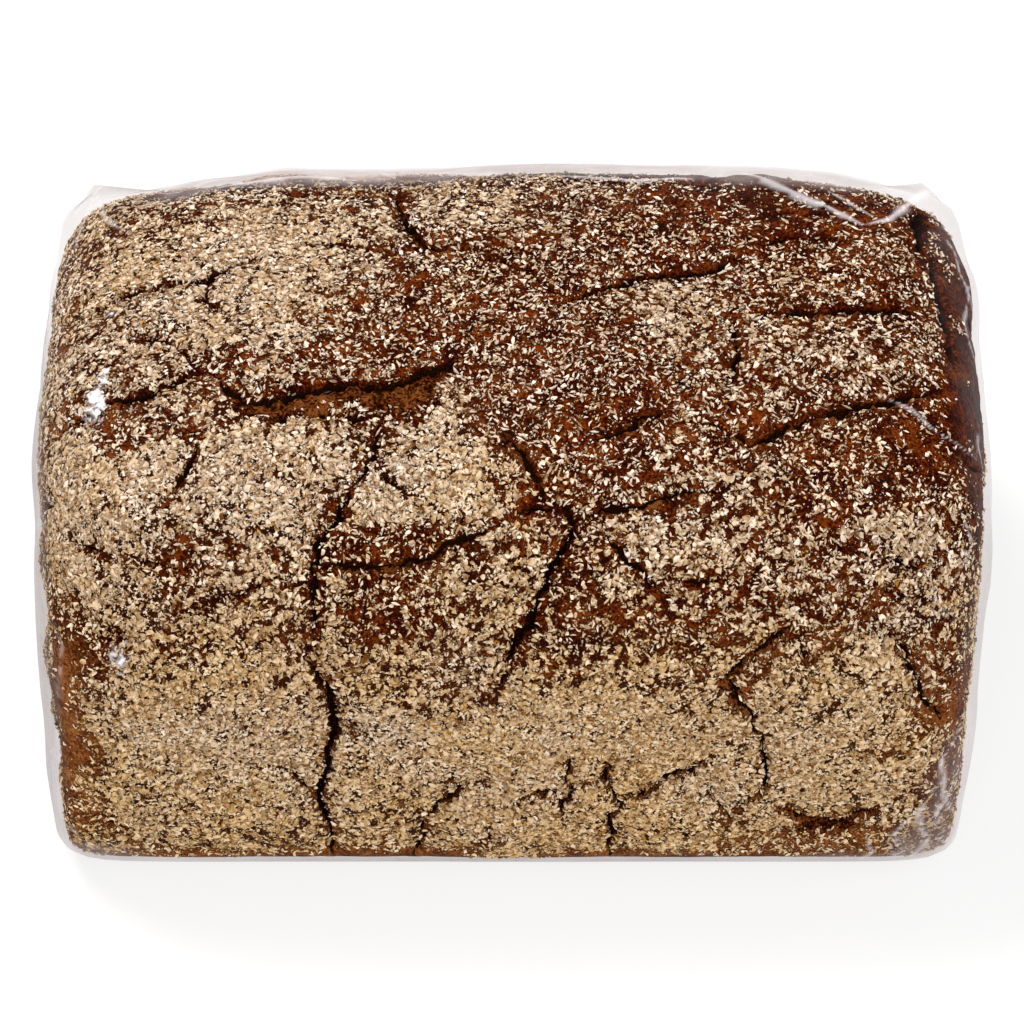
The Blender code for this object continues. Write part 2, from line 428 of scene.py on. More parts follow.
def meal_cover(points):
    """How much of the crust the meal covers, from 0 to 1."""
    edge = points + 5.0 * np.stack([noise(points, 8.0, 31), noise(points, 8.0, 32),
                                    noise(points, 8.0, 33)], axis=1)
    z = points[:, 2]
    on_ends = smooth_step(88.0, 93.0, np.abs(points[:, 0]))
    cover = EVEN_COVER - np.where(points[:, 0] > 0.0, 0.25, 0.05) * on_ends
    cover = cover + 0.07 * (1.0 - smooth_step(42.0, 58.0, z))
    for zone in BARE_ZONES:
        cover = cover - zone_weight(LOAF, edge, zone)
    cover = np.maximum(cover, LEAST_COVER)
    for zone in THICK_ZONES:
        cover = cover + zone_weight(LOAF, edge, zone)
    cover = cover + 0.09 * noise(points, 14.0, 41) + 0.12 * cover * noise(points, 4.5, 42)
    for zone in CLEAN_ZONES:
        cover = cover * (1.0 - zone_weight(LOAF, edge, zone))
    return np.clip(cover, 0.02, 1.0) * smooth_step(1.5, 5.5, z + 1.5 * noise(points, 6.0, 43))


# Places where the meal is browned, and where the bare crust is lighter and more golden than on the crown
WARM_ZONES = ((-91, 34, 11, 38, 0.4), (-20, 62, 90, 14, 0.22))
GOLDEN_ZONES = ((-91, 34, 9, 36, 0.52), (-93, 120, 6, 80, 0.5), (0, 2, 110, 9, 0.35), (62, 30, 36, 36, 0.25))


def meal_warmth(points):
    """The meal is paler on the crown, and browned to tan on the front, the ends and in patches."""
    warmth = 0.62 - (points[:, 2] - 40.0) / 110.0
    for zone in WARM_ZONES:
        warmth = warmth + zone_weight(LOAF, points, zone)
    return np.clip(warmth + 0.28 * noise(points, 16.0, 45) + 0.18 * noise(points, 6.0, 46), 0.0, 1.0)


def crust_gold(points):
    gold = 0.22 * (1.0 - smooth_step(30.0, 70.0, points[:, 2])) + 0.12 * noise(points, 7.0, 47)
    gold = gold + strongest(LOAF, points, GOLDEN_ZONES)
    return np.clip(gold, 0.0, 1.0)


# ------------ meshes

def even_lines(form, cell):
    """Cube coordinates along X, Y and Z that cut the form into cells of nearly equal size."""
    fine = np.linspace(-1.0, 1.0, 2001)
    none, one = np.zeros_like(fine), np.ones_like(fine)
    paths = ((fine, none, one), (none, fine, one), (none, -one, fine))
    lines = []
    for path in paths:
        points = form_points(np.stack(path, axis=1), form)
        arc = np.r_[0.0, np.cumsum(np.linalg.norm(np.diff(points, axis=0), axis=1))]
        cells = round(arc[-1] / cell)
        lines.append(np.interp(np.linspace(0.0, arc[-1], cells + 1), arc, fine))
    return lines


def cube_grid(lines):
    """Points and quads of a box from -1 to 1 without its underside, cut at the given lines."""
    corners, quads, start = [], [], 0
    for axis, side in ((0, -1), (0, 1), (1, -1), (1, 1), (2, 1)):
        a, b = [k for k in range(3) if k != axis]
        u, v = np.meshgrid(lines[a], lines[b], indexing="ij")
        face = np.empty(u.shape + (3,))
        face[..., axis], face[..., a], face[..., b] = side, u, v
        index = start + np.arange(u.size).reshape(u.shape)
        quad = np.stack([index[:-1, :-1], index[1:, :-1], index[1:, 1:], index[:-1, 1:]], axis=-1)
        quad = quad.reshape(-1, 4)
        outward = side if axis != 1 else -side
        quads.append(quad if outward > 0 else quad[:, ::-1])
        corners.append(face.reshape(-1, 3))
        start += u.size
    points, place = np.unique(np.round(np.concatenate(corners), 8), axis=0, return_inverse=True)
    return points, place.reshape(-1)[np.concatenate(quads)]


def place_points(mesh, points):
    mesh.vertices.foreach_set("co", (points * MM).astype(np.float32).ravel())
    mesh.update()


def make_mesh(name, points, faces):
    """A mesh of millimetre points and faces."""
    mesh = bpy.data.meshes.new(name)
    mesh.from_pydata(points * MM, [], faces)
    return mesh


def read_normals(mesh):
    return np.array([normal.vector for normal in mesh.vertex_normals])


def store(mesh, name, values):
    """Keeps a number for every vertex, for the material to read."""
    attribute = mesh.attributes.new(name, "FLOAT", "POINT")
    attribute.data.foreach_set("value", values.astype(np.float32))


def add_piece(mesh, material):
    mesh.materials.append(material)
    piece = bpy.data.objects.new(mesh.name, mesh)
    bpy.context.scene.collection.objects.link(piece)
    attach(piece, "root")
    return piece


# ------------ crust

CRUST_CELL = 1.35
CRUST_REACH = (1.7, 0.7)  # each pass halves the cells that lie this near to a crack


def refined_cube(name, form, cell, lines, reaches):
    """The cube as a mesh with finer cells along the lines and its underside closed, and its points."""
    points, quads = cube_grid(even_lines(form, cell))
    mesh = make_mesh(name, points / MM, quads)
    shape = bmesh.new()
    shape.from_mesh(mesh)
    for reach in reaches:
        shape.verts.index_update()
        cube = np.array([v.co for v in shape.verts])
        near = crack_fields(form_points(cube, form), lines)[3] < reach
        edges = [e for e in shape.edges if near[e.verts[0].index] and near[e.verts[1].index]]
        bmesh.ops.subdivide_edges(shape, edges=edges, cuts=1, use_grid_fill=True)
    rim = [e for e in shape.edges if e.is_boundary]
    bmesh.ops.contextual_create(shape, geom=rim)
    cube = np.array([v.co for v in shape.verts])
    shape.to_mesh(mesh)
    shape.free()
    return mesh, cube


# Where the crust lies deeper under the film: (x, g), half sizes along x and g, depth
HOLLOWS = ((-40, 206, 28, 16, 0.8), (16, 206, 44, 12, 1.1), (66, 206, 24, 12, 1.0))
END_HOLLOW = 2.3  # the same along the lower part of both ends
# Where crust and film stand out beyond the form, or lie lower: (x, g), half sizes along x and g, height
BULGES = (
    (90, 184, 10, 26, 1.9), (94, 112, 8, 44, 1.2), (-67, 203, 18, 18, -2.0), (-30, 205, 26, 12, -0.8),
    (-95, 50, 8, 32, -0.9), (-95, 14, 10, 16, 0.4),
)
PLATE_DROP = 1.3  # how far a plate falls off towards its cracks
PLATE_REACH = 4.0
LIP_HEIGHT = 0.3  # the raised lip beside a crack
LIP_WIDTH = 0.7
HIGHEST_CRUST = 0.45


def bulge_height(points):
    return np.sum([zone_weight(FILM, points, zone) for zone in BULGES], axis=0)


def hollow_depth(points):
    depth = strongest(LOAF, points, HOLLOWS)
    at_ends = smooth_step(88.0, 94.0, np.abs(points[:, 0]))
    low = 1.0 - smooth_step(48.0, 66.0, points[:, 2] + 8.0 * noise(points, 20.0, 12))
    low = low * np.where(points[:, 0] > 0.0, 0.5, 1.9 - 0.9 * smooth_step(18.0, 40.0, points[:, 2]))
    return depth + END_HOLLOW * at_ends * low * (0.75 + 0.6 * noise(points, 9.0, 14))


def swell_height(points):
    return 0.55 * noise(points, 34.0, 1) + 0.5 * noise(points, 14.0, 2) - 0.1


def crust_height(points, sink, torn, distance):
    """How far the crust stands off the form: plates, lips, grain, crumb and the cracks between them."""
    plates = -PLATE_DROP * np.exp(-distance / PLATE_REACH)
    lips = LIP_HEIGHT * np.exp(-((distance - LIP_WIDTH) / LIP_WIDTH) ** 2)
    grain = 0.25 * noise(points, 3.4, 3) + 0.22 * noise(points, 1.9, 4)
    crumb = torn * (1.1 * noise(points, 2.4, 8) + 0.9 * noise(points, 1.1, 9))
    return plates + lips + swell_height(points) + grain + crumb - sink - hollow_depth(points)


def build_crust(main_lines, small_lines):
    mesh, cube = refined_cube("loaf_crust", LOAF, CRUST_CELL, main_lines, CRUST_REACH)
    base = form_points(cube, LOAF)
    place_points(mesh, base)
    normals = read_normals(mesh)
    sink, inside, torn, distance = crack_fields(base, main_lines)
    small_sink, small_inside, _, small_distance = crack_fields(base, small_lines)
    inside = np.maximum(inside, small_inside)
    height = crust_height(base, np.maximum(sink, small_sink), torn, distance)
    height = np.minimum(height, HIGHEST_CRUST) + bulge_height(base)
    height = height * smooth_step(LOAF.floor + 0.2, LOAF.floor + 4.0, base[:, 2])
    points = base + normals * height[:, None]
    points[:, 2] = np.maximum(points[:, 2], LOAF.floor)
    place_points(mesh, points)
    mesh.shade_smooth()
    margin = smooth_step(0.1, 1.9, distance + 1.0 * noise(base, 3.0, 15))
    cover = meal_cover(base) * (0.78 + 0.22 * margin) * (1.0 - np.maximum(inside, 0.9 * torn))
    store(mesh, "cover", cover)
    store(mesh, "inside", inside)
    store(mesh, "torn", torn)
    store(mesh, "warmth", meal_warmth(base))
    store(mesh, "gold", crust_gold(base))
    piece = add_piece(mesh, crust_material())
    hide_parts(CAD_NODE)
    return mesh, cover * smooth_step(0.0, 0.5, np.minimum(distance, small_distance))


# ------------ meal and bran

Kind = namedtuple("Kind", "name shape count length width thickness gather pale brown")
# gather: 1 spreads with the cover, more keeps the kind to the thickly covered places.
# pale and brown: dark, middle and light tones of the kind where the meal is pale and where it is browned.
PALE = ((0.1, 0.036, 0.005), (0.46, 0.345, 0.228), (0.76, 0.680, 0.595))
BROWN = ((0.1, 0.033, 0.003), (0.47, 0.300, 0.122), (0.77, 0.620, 0.425))
TAN = ((0.14, 0.045, 0.004), (0.4, 0.19, 0.035), (0.66, 0.43, 0.18))
GOLD = ((0.13, 0.038, 0.003), (0.37, 0.15, 0.018), (0.56, 0.3, 0.07))
UNDERSIDE_SHADE = (0.034, 0.009, 0.0006)  # painted shade on the edge and underside of every piece of meal, a dark brown
KINDS = (
    Kind("rye_meal_coarse", "chip", 24900, (0.85, 1.4), (0.55, 0.85), (0.4, 0.7), 1.1, PALE, BROWN),
    Kind("rye_meal_fine", "grain", 49800, (0.5, 0.9), (0.4, 0.65), (0.35, 0.55), 0.4, PALE, BROWN),
    Kind("bran_curls", "curl", 33200, (1.0, 1.75), (0.45, 0.65), (0.4, 0.65), 0.4, PALE, BROWN),
    Kind("bran_specks_golden", "grain", 15000, (0.5, 1.0), (0.4, 0.7), (0.3, 0.5), 0.6, TAN, GOLD),
    Kind("rye_dust", "grain", 24000, (0.3, 0.55), (0.25, 0.45), (0.2, 0.35), 0.15, PALE, PALE),
)
# A chip is a triangle over a turned triangle, six-sided from above. A grain is a low pyramid.
# A curl is a ridge with pointed ends.
CHIP = tuple((math.cos(math.radians(60 * k)), math.sin(math.radians(60 * k)), 0.55 - 1.1 * (k % 2))
             for k in range(6))
GRAIN = ((1.15, 0.0, -0.5), (-0.6, 1.0, -0.5), (-0.6, -1.0, -0.5), (0.0, 0.0, 1.0))
CURL = ((-1.0, 0.0, 0.05), (1.0, 0.0, 0.05), (0.0, 1.0, -0.5), (0.0, -1.0, -0.5), (0.0, 0.0, 1.0))
BEND = 0.9  # how far the middle of a piece lies aside of its ends, in half widths
TIP_LIFT = 0.4  # how far its ends stand up, in half thicknesses
# Where the meal is a closed crust, its pieces are larger, flatter and less bright, and less shade is painted
# on their rims
CLOSED_GROWTH = np.array((0.1, 0.35, -0.15))
CLOSED_DULLING = 0.23
CLOSED_SHADE_LIFT = 0.28
SHAPES = {
    "chip": (CHIP, ((0, 2, 4), (5, 3, 1), (0, 1, 2), (1, 3, 2), (2, 3, 4), (3, 5, 4), (4, 5, 0), (5, 1, 0))),
    "grain": (GRAIN, ((0, 2, 1), (0, 1, 3), (1, 2, 3), (2, 0, 3))),
    "curl": (CURL, ((1, 2, 4), (1, 4, 3), (1, 3, 2), (0, 4, 2), (0, 3, 4), (0, 2, 3))),
}
SPARE = 2.6  # places tried for each piece, before the gaps between clusters are cleared


def scatter(mesh, cover, kind, rng):
    """Places on the crust, with normals and cover, chosen by area and cover and gathered in clusters."""
    mesh.calc_loop_triangles()
    triangles = np.array([triangle.vertices for triangle in mesh.loop_triangles])
    corners = (np.array([vertex.co for vertex in mesh.vertices]) / MM)[triangles]
    cross = np.cross(corners[:, 1] - corners[:, 0], corners[:, 2] - corners[:, 0])
    weight = np.linalg.norm(cross, axis=1) * cover[triangles].mean(axis=1) ** kind.gather
    weight *= smooth_step(0.03, 0.28, cover[triangles].mean(axis=1))
    weight[corners[:, :, 2].max(axis=1) < LOAF.floor + 1.0] = 0.0
    tries = int(kind.count * SPARE)
    chosen = np.searchsorted(np.cumsum(weight) / weight.sum(), rng.random(tries))
    chosen = np.minimum(chosen, len(triangles) - 1)
    a, b = rng.random((2, tries))
    outside = a + b > 1.0
    a, b = np.where(outside, 1.0 - a, a), np.where(outside, 1.0 - b, b)
    share = np.stack([1.0 - a - b, a, b], axis=1)
    places = (corners[chosen] * share[:, :, None]).sum(axis=1)
    normals = unit((read_normals(mesh)[triangles[chosen]] * share[:, :, None]).sum(axis=1))
    thick = (cover[triangles[chosen]] * share).sum(axis=1)
    lumps = 0.5 * noise(places, 2.2, 71) + 0.9 * noise(places, 1.1, 72) + 0.5 * (thick - 0.55)
    closed = smooth_step(0.38, 0.68, thick)
    wish = closed * smooth_step(-0.36, 0.04, lumps) + 0.85 * (1.0 - closed)
    kept = np.argsort(rng.random(tries) - 1.8 * wish)[:kind.count]
    return places[kept], normals[kept], thick[kept]


def bent_bits(kind, corners, closed, rng):
    """The corners of every bit about its own middle, each bit bent its own way, and the half sizes."""
    n = kind.count
    bits = np.repeat(corners[None], n, axis=0)
    bits += rng.uniform(-1.0, 1.0, bits.shape) * (0.26, 0.26, 0.35)
    curve = 0.5 - bits[:, :, 0] ** 2
    bits[:, :, 1] += BEND * rng.uniform(-1.0, 1.0, (n, 1)) * curve
    bits[:, :, 2] -= TIP_LIFT * rng.uniform(-0.3, 1.0, (n, 1)) * curve
    size = np.stack([rng.uniform(*kind.length, n), rng.uniform(*kind.width, n),
                     rng.uniform(*kind.thickness, n)], axis=1) / 2.0
    size *= rng.lognormal(0.0, 0.14, (n, 1)) * (1.0 + closed * CLOSED_GROWTH)
    return bits * size[:, None, :], size


def turns(normals, closed, rng):
    """For every bit its own axes, its third one near the crust's normal."""
    n = len(normals)
    helper = unit(rng.normal(0.0, 1.0, (n, 3)))
    first = unit(np.cross(normals, helper))
    second = np.cross(normals, first)
    tilt = rng.normal(0.0, 0.26, (n, 2)) * (1.0 - 0.5 * closed)
    upward = unit(normals + tilt[:, :1] * first + tilt[:, 1:] * second)
    first = unit(np.cross(second, upward))
    return np.stack([first, np.cross(upward, first), upward], axis=1)


def build_kind(crust, cover, kind, rng):
    """One mesh of closed chips, grains or curls."""
    places, normals, thick = scatter(crust, cover, kind, rng)
    n = kind.count
    corners, triangles = (np.array(part) for part in SHAPES[kind.shape])
    closed = smooth_step(0.35, 0.75, thick)[:, None]
    bits, size = bent_bits(kind, corners, closed, rng)
    bits = bits @ turns(normals, closed, rng)
    lift = size[:, 2] * 0.5 + rng.random(n) * 0.35 * thick
    centres = places + normals * lift[:, None]
    points = (centres[:, None, :] + bits).reshape(-1, 3)
    points[:, 2] = np.maximum(points[:, 2], LOAF.floor)
    per_bit = len(corners)
    faces = (triangles[None] + per_bit * np.arange(n)[:, None, None]).reshape(-1, 3)
    mesh = make_mesh(kind.name, points, faces)
    mesh.shade_flat()
    tone = 0.45 * np.repeat(rng.random(n), per_bit) + 0.55 * rng.random(n * per_bit)
    closed = np.repeat(closed[:, 0], per_bit)
    store(mesh, "tone", tone * (1.0 - CLOSED_DULLING * closed))
    # Upper corners keep the face colour; the others get the painted underside shade, lighter on a closed
    # crust
    store(mesh, "upper", np.maximum(np.tile(corners[:, 2] > 0.0, n), CLOSED_SHADE_LIFT * closed))
    warmth = np.clip(meal_warmth(places) + rng.normal(0.0, 0.12, n), 0.0, 1.0)
    store(mesh, "warmth", np.repeat(warmth, per_bit))
    add_piece(mesh, meal_material(kind))


# ------------ film

FILM_CELL = 2.0
FILM_REACH = (2.5, 1.2)
# Loose corners of the film: (x, g) of the tip, height, reach
EARS = ((-83.0, 190.0, 5.5, 14.0), (-90.0, 200.0, 2.5, 9.0), (82.5, 188.0, 5.0, 13.0),
        (89.5, 200.0, 2.0, 9.0))
PLEAT_DEPTH = 0.9
PLEATS_PER_END = 7
FOLD_WIDTH = 1.6
TAUT_ZONE = (-95, 88, 8, 44, 1.3)  # where the film lies tight on the crust
# Folds of the film: half width of the crest that looks cloudy and carries a painted highlight, height,
# places on the chart
FOLDS = cracks(
    (2.2, 0.9, ((48, 194), (55, 187), (62, 180), (68, 175), (73, 172))),
    (1.2, 0.9, ((73, 172), (78, 176), (83, 184), (86, 190))),
    (1.2, 0.6, ((66, 186), (71, 180), (75, 177))),
    (0.5, 0.5, ((74, 118.5), (80, 115), (85, 110), (91, 105))),
    (0.6, 0.8, ((83, 73), (87, 67), (91, 60))),
    (0.6, 0.7, ((-79, 127), (-81, 121), (-79, 115))),
    (0.5, 0.6, ((-75, 64), (-76.5, 60), (-74, 56))),
    (0.8, 0.7, ((72, 2), (76, 9), (74, 16))),
    (0.7, 0.6, ((92, 44), (88, 34), (90, 24), (93, 16))),
    (0.5, 0.6, ((78, 3), (82, 9), (80, 15), (84, 21))),
    (0.5, 0.6, ((87, 5), (91, 12), (89, 20), (92, 30))),
    (0.8, 0.7, ((84, 4), (87, 12), (84, 20), (88, 28))),
    (0.5, 0.6, ((-90, 70), (-88, 60), (-91, 48))),
    (0.45, 0.5, ((-92, 112), (-93, 100), (-92.2, 88), (-93.4, 76), (-92.4, 64), (-93.6, 50),
     (-92.6, 38), (-93.4, 26), (-91.5, 12))),
    (1.2, 0.7, ((-62, 186), (-45, 190), (-30, 188))),
    (1.2, 0.7, ((8, 190), (24, 188), (40, 190))),
    (0.5, 0.6, ((88, 92), (90, 84), (88, 76))),
    (0.4, 0.5, ((-83, 190), (-82, 180), (-78, 172))),
    (0.4, 0.5, ((-83, 190), (-74, 188), (-64, 190))),
    (0.4, 0.5, ((-83, 190), (-88, 182), (-92, 170), (-93, 156))),
    (0.7, 0.6, ((86, 186), (89, 176), (91, 162), (90, 150), (92, 138))),
    (0.6, 0.6, ((93, 172), (91.5, 164), (93.5, 156), (93, 146))),
    (0.6, 0.6, ((93, 118), (91.5, 110), (93, 100))),
)
# Places where the film lies double or stands off in wrinkles and turns cloudy, and where the bands along the
# top and the edges carry a painted reflection of film seen at a glancing angle:
# (x, g), half sizes along x and g, and how strong
MILK_AND_SHEEN_ZONES = (
    (-44, 193.5, 42, 7.5, 0.7), (8, 198, 44, 7, 0.65), (58, 194, 30, 7, 0.45), (91, 176, 7, 30, 0.06),
    (-70, 191, 12, 7, 0.35), (86, 192, 11, 10, 0.05),
    (0, 0, 96, 3.0, 0.35), (88, 10, 8, 9, 0.42), (76, 4, 14, 4, 0.25), (-86, 5, 10, 5, 0.3),
    (93, 130, 5, 30, 0.06), (94, 60, 4, 30, 0.12),
    (-94.5, 60, 3.2, 110, 0.32), (91, 22, 5, 18, 0.26),
)
# Places where a glint of light on a wrinkle is painted on the film, near white
PAINTED_GLINT_ZONES = (
    (-81.5, 117, 2.2, 5.5, 0.8), (-80, 125, 1.5, 3.0, 0.65), (-80, 146, 1.6, 4.0, 0.4),
    (-77, 60, 2.2, 4.0, 0.65), (-74, 71, 1.2, 2.0, 0.5),
)


def film_lift(points):
    """How far the film stands off its form: loose corners, end pleats and crinkles."""
    lift = np.zeros(len(points))
    for x, g, height, reach in EARS:
        away = np.linalg.norm(points - over(FILM, x, g), axis=1)
        lift += height * np.maximum(1.0 - away / reach, 0.0) ** 1.6
    on_ends = smooth_step(0.8, 0.97, np.abs(points[:, 0]) / FILM.half_length)
    fan = np.arctan2(points[:, 1], points[:, 2] + WAIST / 2.0)
    lift += PLEAT_DEPTH * on_ends * np.cos(2.0 * PLEATS_PER_END * fan) / 2.0
    lift += 0.3 * noise(points, 26.0, 61) + 0.3 * (0.5 - np.abs(noise(points, 11.0, 62)))
    lift += 0.15 * (0.5 - np.abs(noise(points, 5.0, 63)))
    lift -= zone_weight(FILM, points, TAUT_ZONE)
    # It lies over the swellings of the crust
    least = -0.15 + 0.8 * smooth_step(-0.25, 0.4, swell_height(points))
    return np.maximum(lift, least) + bulge_height(points)


def fold_lift(points, lines):
    """Sharp ridges along the folds, and how near a fold's crest is, from 0 to 1."""
    lift, crest = np.zeros(len(points)), np.zeros(len(points))
    for line in lines:
        near, _, j, away = near_line(points, line)
        d = np.linalg.norm(away, axis=1)
        lift[near] += line.depth[j] * np.exp(-d / FOLD_WIDTH)
        crest[near] = np.maximum(crest[near], 1.0 - smooth_step(0.0, 1.0, d / line.half_width[j]))
    return lift, crest


def build_film():
    folds = [crack_line(FILM, fold, 700 + k, FOLD_WANDER) for k, fold in enumerate(FOLDS)]
    mesh, cube = refined_cube("film_bag", FILM, FILM_CELL, folds, FILM_REACH)
    base = form_points(cube, FILM)
    place_points(mesh, base)
    normals = read_normals(mesh)
    ridge, crest = fold_lift(base, folds)
    lift = (film_lift(base) + ridge) * smooth_step(0.3, 7.0, base[:, 2])
    points = base + normals * lift[:, None]
    points[:, 2] = np.maximum(points[:, 2], 0.0)
    place_points(mesh, points)
    mesh.shade_smooth()
    # Cloudiness of doubled film and painted reflection, stored per place on the film, with the fold crests
    store(mesh, "milk_and_sheen", np.clip(strongest(FILM, base, MILK_AND_SHEEN_ZONES) + 0.2 * crest, 0.0, 1.0))
    # How near a fold's crest is, where a painted highlight goes
    store(mesh, "crest", crest)
    # Where the painted glints go
    store(mesh, "painted_glint", strongest(FILM, base, PAINTED_GLINT_ZONES))
    piece = add_piece(mesh, film_material())
    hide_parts(CAD_NODE)


# ------------ materials

# Dark, middle and light tones of the crust and of the crumb in a tear, then single colours
DARK_CRUST = ((0.010, 0.0006, 0.0001), (0.034, 0.0034, 0.0001), (0.130, 0.024, 0.0012))
GOLDEN_CRUST = ((0.085, 0.018, 0.0022), (0.205, 0.062, 0.011), (0.390, 0.165, 0.048))
CRUMB = ((0.008, 0.001, 0.0003), (0.070, 0.015, 0.002), (0.150, 0.052, 0.012))
# painted shade on the crust beside and under the edge of the painted meal, standing for its contact shadow
SHADE_NEAR_MEAL = (0.045, 0.011, 0.001)
PIT_SHADE = (0.020, 0.004, 0.0005)  # painted shade in the deep pits between the bits of a closed crust
# painted shade: near black in the core of every crack, where the deep crack lies in shade
CRACK_SHADE = (0.010, 0.003, 0.001)
CLEAR_FILM = (0.945, 0.930, 0.925, 1.0)
# painted highlight along creases and fold crests, pale grey lilac
CREASE_SHEEN_FILM = (0.68, 0.64, 0.66, 1.0)
# painted highlight: the near-white colour of the painted glints
PAINTED_GLINT_FILM = (0.9, 0.88, 0.93, 1.0)
GLOSS_FILM = (0.93, 0.91, 0.95, 1.0)
# cloudy film with painted reflection: lilac grey tones
MILK_AND_SHEEN_FILM = ((0.25, 0.195, 0.182), (0.38, 0.325, 0.32))


class Nodes:
    """A material's node tree, with short calls for the nodes that the materials use."""

    def __init__(self, name):
        self.material = bpy.data.materials.new(name)
        self.material.use_nodes = True
        self.tree = self.material.node_tree
        self.shader = self.tree.nodes["Principled BSDF"]
        self.place = self.add("TexCoord").outputs["Object"]

    def add(self, kind, inputs=None, **settings):
        made = self.tree.nodes.new("ShaderNode" + kind)
        for name, value in settings.items():
            setattr(made, name, value)
        for name, value in (inputs or {}).items():
            self.give(made.inputs[name], value)
        return made

    def give(self, socket, value):
        if isinstance(value, bpy.types.NodeSocket):
            self.tree.links.new(value, socket)
        else:
            socket.default_value = value

    def surface(self, **sockets):
        """Sets the shader's own sockets, named with _ for a space."""
        for name, value in sockets.items():
            self.give(self.shader.inputs[name.replace("_", " ")], value)

    def math(self, operation, a, b=0.0, clamp=False):
        return self.add("Math", {0: a, 1: b}, operation=operation, use_clamp=clamp).outputs[0]

    def plus(self, a, b):
        return self.math("ADD", a, b)

    def times(self, a, b, clamp=False):
        return self.math("MULTIPLY", a, b, clamp)

    def about(self, value, middle, gain):
        """How far a value is from the middle, times the gain."""
        return self.times(self.math("SUBTRACT", value, middle), gain)

    def noise(self, size_mm, detail=2.0, at=None, rough=0.5, output="Fac"):
        inputs = {"Vector": at or self.place, "Scale": 1.0 / (size_mm * MM), "Detail": detail,
                  "Roughness": rough}
        return self.add("TexNoise", inputs).outputs[output]

    def steps(self, value, low, high):
        """Rises from 0 to 1 between low and high."""
        inputs = {"Value": value, "From Min": low, "From Max": high}
        return self.add("MapRange", inputs, interpolation_type="SMOOTHSTEP").outputs[0]

    def ramp(self, value, places, colours):
        made = self.add("ValToRGB", {"Fac": value})
        points = made.color_ramp.elements
        while len(points) < len(places):
            points.new(0.5)
        for point, place, colour in zip(points, places, colours):
            point.position = place
            point.color = (*colour, 1.0)
        return made.outputs["Color"]

    def mix(self, amount, a, b):
        made = self.add("Mix", data_type="RGBA")
        for index, value in ((0, amount), (6, a), (7, b)):
            if isinstance(value, tuple):
                value = (*value, 1.0)
            self.give(made.inputs[index], value)
        return made.outputs[2]

    def blend(self, share, a, b):
        """A shader between two others."""
        return self.add("MixShader", {0: share, 1: a, 2: b}).outputs[0]

    def warped(self, size_mm, reach_mm):
        """The place, pushed about by noise."""
        push = self.noise(size_mm, 1.0, output="Color")
        centred = self.add("VectorMath", {0: push, 1: (0.5, 0.5, 0.5)}, operation="SUBTRACT").outputs[0]
        scaled = self.add("VectorMath", {0: centred, "Scale": 2.0 * reach_mm * MM}, operation="SCALE")
        return self.add("VectorMath", {0: self.place, 1: scaled.outputs[0]}, operation="ADD").outputs[0]

    def value(self, name):
        return self.add("Attribute", attribute_name=name).outputs["Fac"]

    def bump(self, height, distance_mm, strength):
        inputs = {"Height": height, "Distance": distance_mm * MM, "Strength": strength}
        return self.add("Bump", inputs).outputs[0]


def crust_material():
    """Red-brown baked crust under powdery meal, with crumbly torn walls; shade is painted near black in the
    cracks, and dark in the pits of a closed crust and beside the meal.
    """
    nodes = Nodes("rye_crust")
    cover = nodes.value("cover")
    grains = nodes.noise(0.95, 3.0, rough=0.65)
    tones = nodes.noise(0.6)
    broad = nodes.noise(5.0, 4.0, rough=0.65)
    ragged = nodes.about(grains, 0.5, 1.6)
    crack = nodes.steps(nodes.plus(nodes.value("inside"), ragged), 0.35, 0.65)
    wall = nodes.steps(nodes.plus(nodes.value("torn"), ragged), 0.35, 0.65)
    level = nodes.plus(grains, nodes.about(cover, 0.76, 0.45))
    meal = nodes.steps(level, 0.49, 0.52)
    near_meal_shade = nodes.steps(level, 0.4, 0.48)
    pit_shade_share = nodes.times(nodes.steps(cover, 0.5, 0.8), 0.85)

    spots = nodes.plus(nodes.times(broad, 0.5), nodes.times(tones, 0.5))
    dark = nodes.ramp(spots, (0.4, 0.5, 0.6), DARK_CRUST)
    golden = nodes.ramp(spots, (0.4, 0.5, 0.6), GOLDEN_CRUST)
    baked = nodes.mix(nodes.value("gold"), dark, golden)
    # Painted shade: the crust darkens beside and under the edge of the painted meal, as its contact shadow
    # would
    shaded = nodes.mix(nodes.times(near_meal_shade, 0.5), baked, SHADE_NEAR_MEAL)
    # Painted shade: the deep pits between the bits of a closed crust are near black
    shaded = nodes.mix(pit_shade_share, shaded, PIT_SHADE)
    pale = nodes.ramp(tones, (0.34, 0.45, 0.6), PALE)
    brown = nodes.ramp(tones, (0.34, 0.45, 0.6), BROWN)
    colour = nodes.mix(meal, shaded, nodes.mix(nodes.value("warmth"), pale, brown))
    colour = nodes.mix(wall, colour, nodes.ramp(spots, (0.43, 0.5, 0.57), CRUMB))
    # Painted shade: the core of every crack is near black
    colour = nodes.mix(crack, colour, CRACK_SHADE)

    dull = nodes.math("MAXIMUM", nodes.math("MAXIMUM", meal, crack), wall)
    height = nodes.plus(nodes.plus(meal, nodes.times(grains, 1.6)), nodes.times(tones, 0.6))
    nodes.surface(Base_Color=colour, Roughness=nodes.plus(0.42, nodes.times(dull, 0.45)),
                  Specular_IOR_Level=0.02, Normal=nodes.bump(height, 0.32, 1.0))
    return nodes.material


